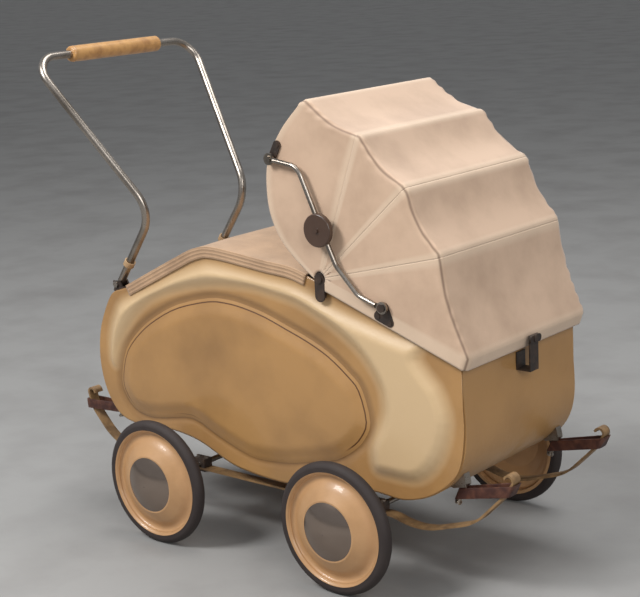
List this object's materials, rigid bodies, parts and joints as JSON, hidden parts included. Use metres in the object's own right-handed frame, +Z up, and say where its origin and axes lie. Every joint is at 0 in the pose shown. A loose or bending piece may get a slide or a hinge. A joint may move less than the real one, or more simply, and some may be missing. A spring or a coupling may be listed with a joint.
{
  "type": "doll stroller",
  "caption": "Coach-built doll's pram: moulded body hung by leather straps from long springs, disc wheels, folding cloth hood with stays and a fixed push handle.",
  "frame": {"origin": "centre of the bounding box's footprint, on the floor", "axes": "+X towards the hood end, +Z up, -Y the right-hand side"},
  "size_m": [0.7995, 0.46, 0.691],
  "materials": {
    "body_paint": "painted moulded board, worn satin",
    "bare_board": "bare board",
    "apron_cloth": "coated cloth",
    "hood_cloth": "coated cloth",
    "leather": "worn strap leather",
    "bright_steel": "dulled nickel plate",
    "grip_wood": "worn varnish",
    "dark_iron": "dark enamel",
    "spring_paint": "worn paint",
    "wheel_paint": "enamel",
    "tyre_rubber": "aged rubber",
    "nickel": "dulled nickel",
    "brown_enamel": "brown enamel"
  },
  "bodies": {
    "carriage": {"side_panel_right": "body_paint", "side_panel_left": "body_paint", "body_wrap": "body_paint", "floor_bearers": "bare_board", "floor_board": "bare_board", "apron": "apron_cloth", "apron_loops": "leather", "strap_front_right": "leather", "strap_front_left": "leather", "strap_rear_right": "leather", "strap_rear_left": "leather", "handle_tube": "bright_steel", "axle_front": "bright_steel", "axle_rear": "bright_steel", "handle_bolts": "bright_steel", "axle_nuts": "bright_steel", "clamp_bolts": "bright_steel", "base_bow_rivets": "bright_steel", "strap_brackets": "bright_steel", "handle_grip": "grip_wood", "handle_brackets": "dark_iron", "axle_collars": "dark_iron", "axle_clamps": "dark_iron", "hood_pivot_plates": "dark_iron", "stay_foot_brackets": "dark_iron", "catch_plate": "dark_iron", "apron_bow": "dark_iron", "base_bow": "dark_iron", "chassis_spring_right": "spring_paint", "chassis_spring_left": "spring_paint"},
    "hood_bow_4": {"bow_4": "dark_iron", "hood_gore_4": "hood_cloth"},
    "hood_bow_3": {"bow_3": "dark_iron", "hood_gore_3": "hood_cloth"},
    "hood_bow_2": {"bow_2": "dark_iron", "hood_gore_2": "hood_cloth"},
    "hood_front": {"front_bow": "dark_iron", "hood_gore_1": "hood_cloth", "stay_top_brackets": "dark_iron"},
    "lower_stay_right": {"lower_stay_right": "bright_steel"},
    "upper_stay_right": {"upper_stay_right": "bright_steel", "knuckle_disc_right": "brown_enamel"},
    "lower_stay_left": {"lower_stay_left": "bright_steel"},
    "upper_stay_left": {"upper_stay_left": "bright_steel", "knuckle_disc_left": "brown_enamel"},
    "wheel_front_right": {"wheel_disc_front_right": "wheel_paint", "tyre_front_right": "tyre_rubber", "hub_cap_front_right": "nickel"},
    "wheel_front_left": {"wheel_disc_front_left": "wheel_paint", "tyre_front_left": "tyre_rubber", "hub_cap_front_left": "nickel"},
    "wheel_rear_right": {"wheel_disc_rear_right": "wheel_paint", "tyre_rear_right": "tyre_rubber", "hub_cap_rear_right": "nickel"},
    "wheel_rear_left": {"wheel_disc_rear_left": "wheel_paint", "tyre_rear_left": "tyre_rubber", "hub_cap_rear_left": "nickel"},
    "catch_button": {"catch_button": "dark_iron"}
  },
  "joints": [
    {"name": "hood_fold", "type": "hinge", "parent": "carriage", "child": "hood_bow_4", "pos_m": [0.1185, 0, 0.401], "axis": [0, 1, 0], "range_deg": [0, 25.1], "deforming": ["hood_gore_4"]},
    {"name": "bow_3_turn", "type": "hinge", "parent": "hood_bow_4", "child": "hood_bow_3", "pos_m": [0.1185, 0, 0.401], "axis": [0, 1, 0], "range_deg": [0, 20.6], "deforming": ["hood_gore_3"]},
    {"name": "bow_2_turn", "type": "hinge", "parent": "hood_bow_3", "child": "hood_bow_2", "pos_m": [0.1185, 0, 0.401], "axis": [0, 1, 0], "range_deg": [0, 19.8], "deforming": ["hood_gore_2"]},
    {"name": "front_bow_turn", "type": "hinge", "parent": "hood_bow_2", "child": "hood_front", "pos_m": [0.1185, 0, 0.401], "axis": [0, 1, 0], "range_deg": [0, 15.9], "deforming": ["hood_gore_1"]},
    {"name": "lower_stay_right_turn", "type": "hinge", "parent": "carriage", "child": "lower_stay_right", "pos_m": [0.22455, 0, 0.37598], "axis": [0, 1, 0], "range_deg": [0, 118]},
    {"name": "upper_stay_right_turn", "type": "hinge", "parent": "lower_stay_right", "child": "upper_stay_right", "pos_m": [0.1322, 0, 0.46912], "axis": [0, 1, 0], "range_deg": [-121.5, 0]},
    {"name": "lower_stay_left_turn", "type": "hinge", "parent": "carriage", "child": "lower_stay_left", "pos_m": [0.22455, 0, 0.37598], "axis": [0, 1, 0], "range_deg": [0, 118]},
    {"name": "upper_stay_left_turn", "type": "hinge", "parent": "lower_stay_left", "child": "upper_stay_left", "pos_m": [0.1322, 0, 0.46912], "axis": [0, 1, 0], "range_deg": [-121.5, 0]},
    {"name": "wheel_front_right_spin", "type": "hinge", "parent": "carriage", "child": "wheel_front_right", "pos_m": [0.179, -0.2033, 0.09], "axis": [0, 1, 0], "continuous": true},
    {"name": "wheel_front_left_spin", "type": "hinge", "parent": "carriage", "child": "wheel_front_left", "pos_m": [0.179, 0.2033, 0.09], "axis": [0, 1, 0], "continuous": true},
    {"name": "wheel_rear_right_spin", "type": "hinge", "parent": "carriage", "child": "wheel_rear_right", "pos_m": [-0.148, -0.2033, 0.09], "axis": [0, 1, 0], "continuous": true},
    {"name": "wheel_rear_left_spin", "type": "hinge", "parent": "carriage", "child": "wheel_rear_left", "pos_m": [-0.148, 0.2033, 0.09], "axis": [0, 1, 0], "continuous": true},
    {"name": "catch_turn", "type": "hinge", "parent": "carriage", "child": "catch_button", "pos_m": [0.35634, 0, 0.32023], "axis": [1, 0, 0], "range_deg": [-90, 90]}
  ],
  "couplings": [
    {"joint": "bow_3_turn", "follows": "hood_fold", "ratio": 0.81673},
    {"joint": "bow_2_turn", "follows": "hood_fold", "ratio": 0.78486},
    {"joint": "front_bow_turn", "follows": "hood_fold", "ratio": 0.62948},
    {"joint": "lower_stay_right_turn", "follows": "hood_fold", "ratio": 4.6833},
    {"joint": "upper_stay_right_turn", "follows": "hood_fold", "ratio": -4.8183},
    {"joint": "lower_stay_left_turn", "follows": "hood_fold", "ratio": 4.6833},
    {"joint": "upper_stay_left_turn", "follows": "hood_fold", "ratio": -4.8183}
  ]
}
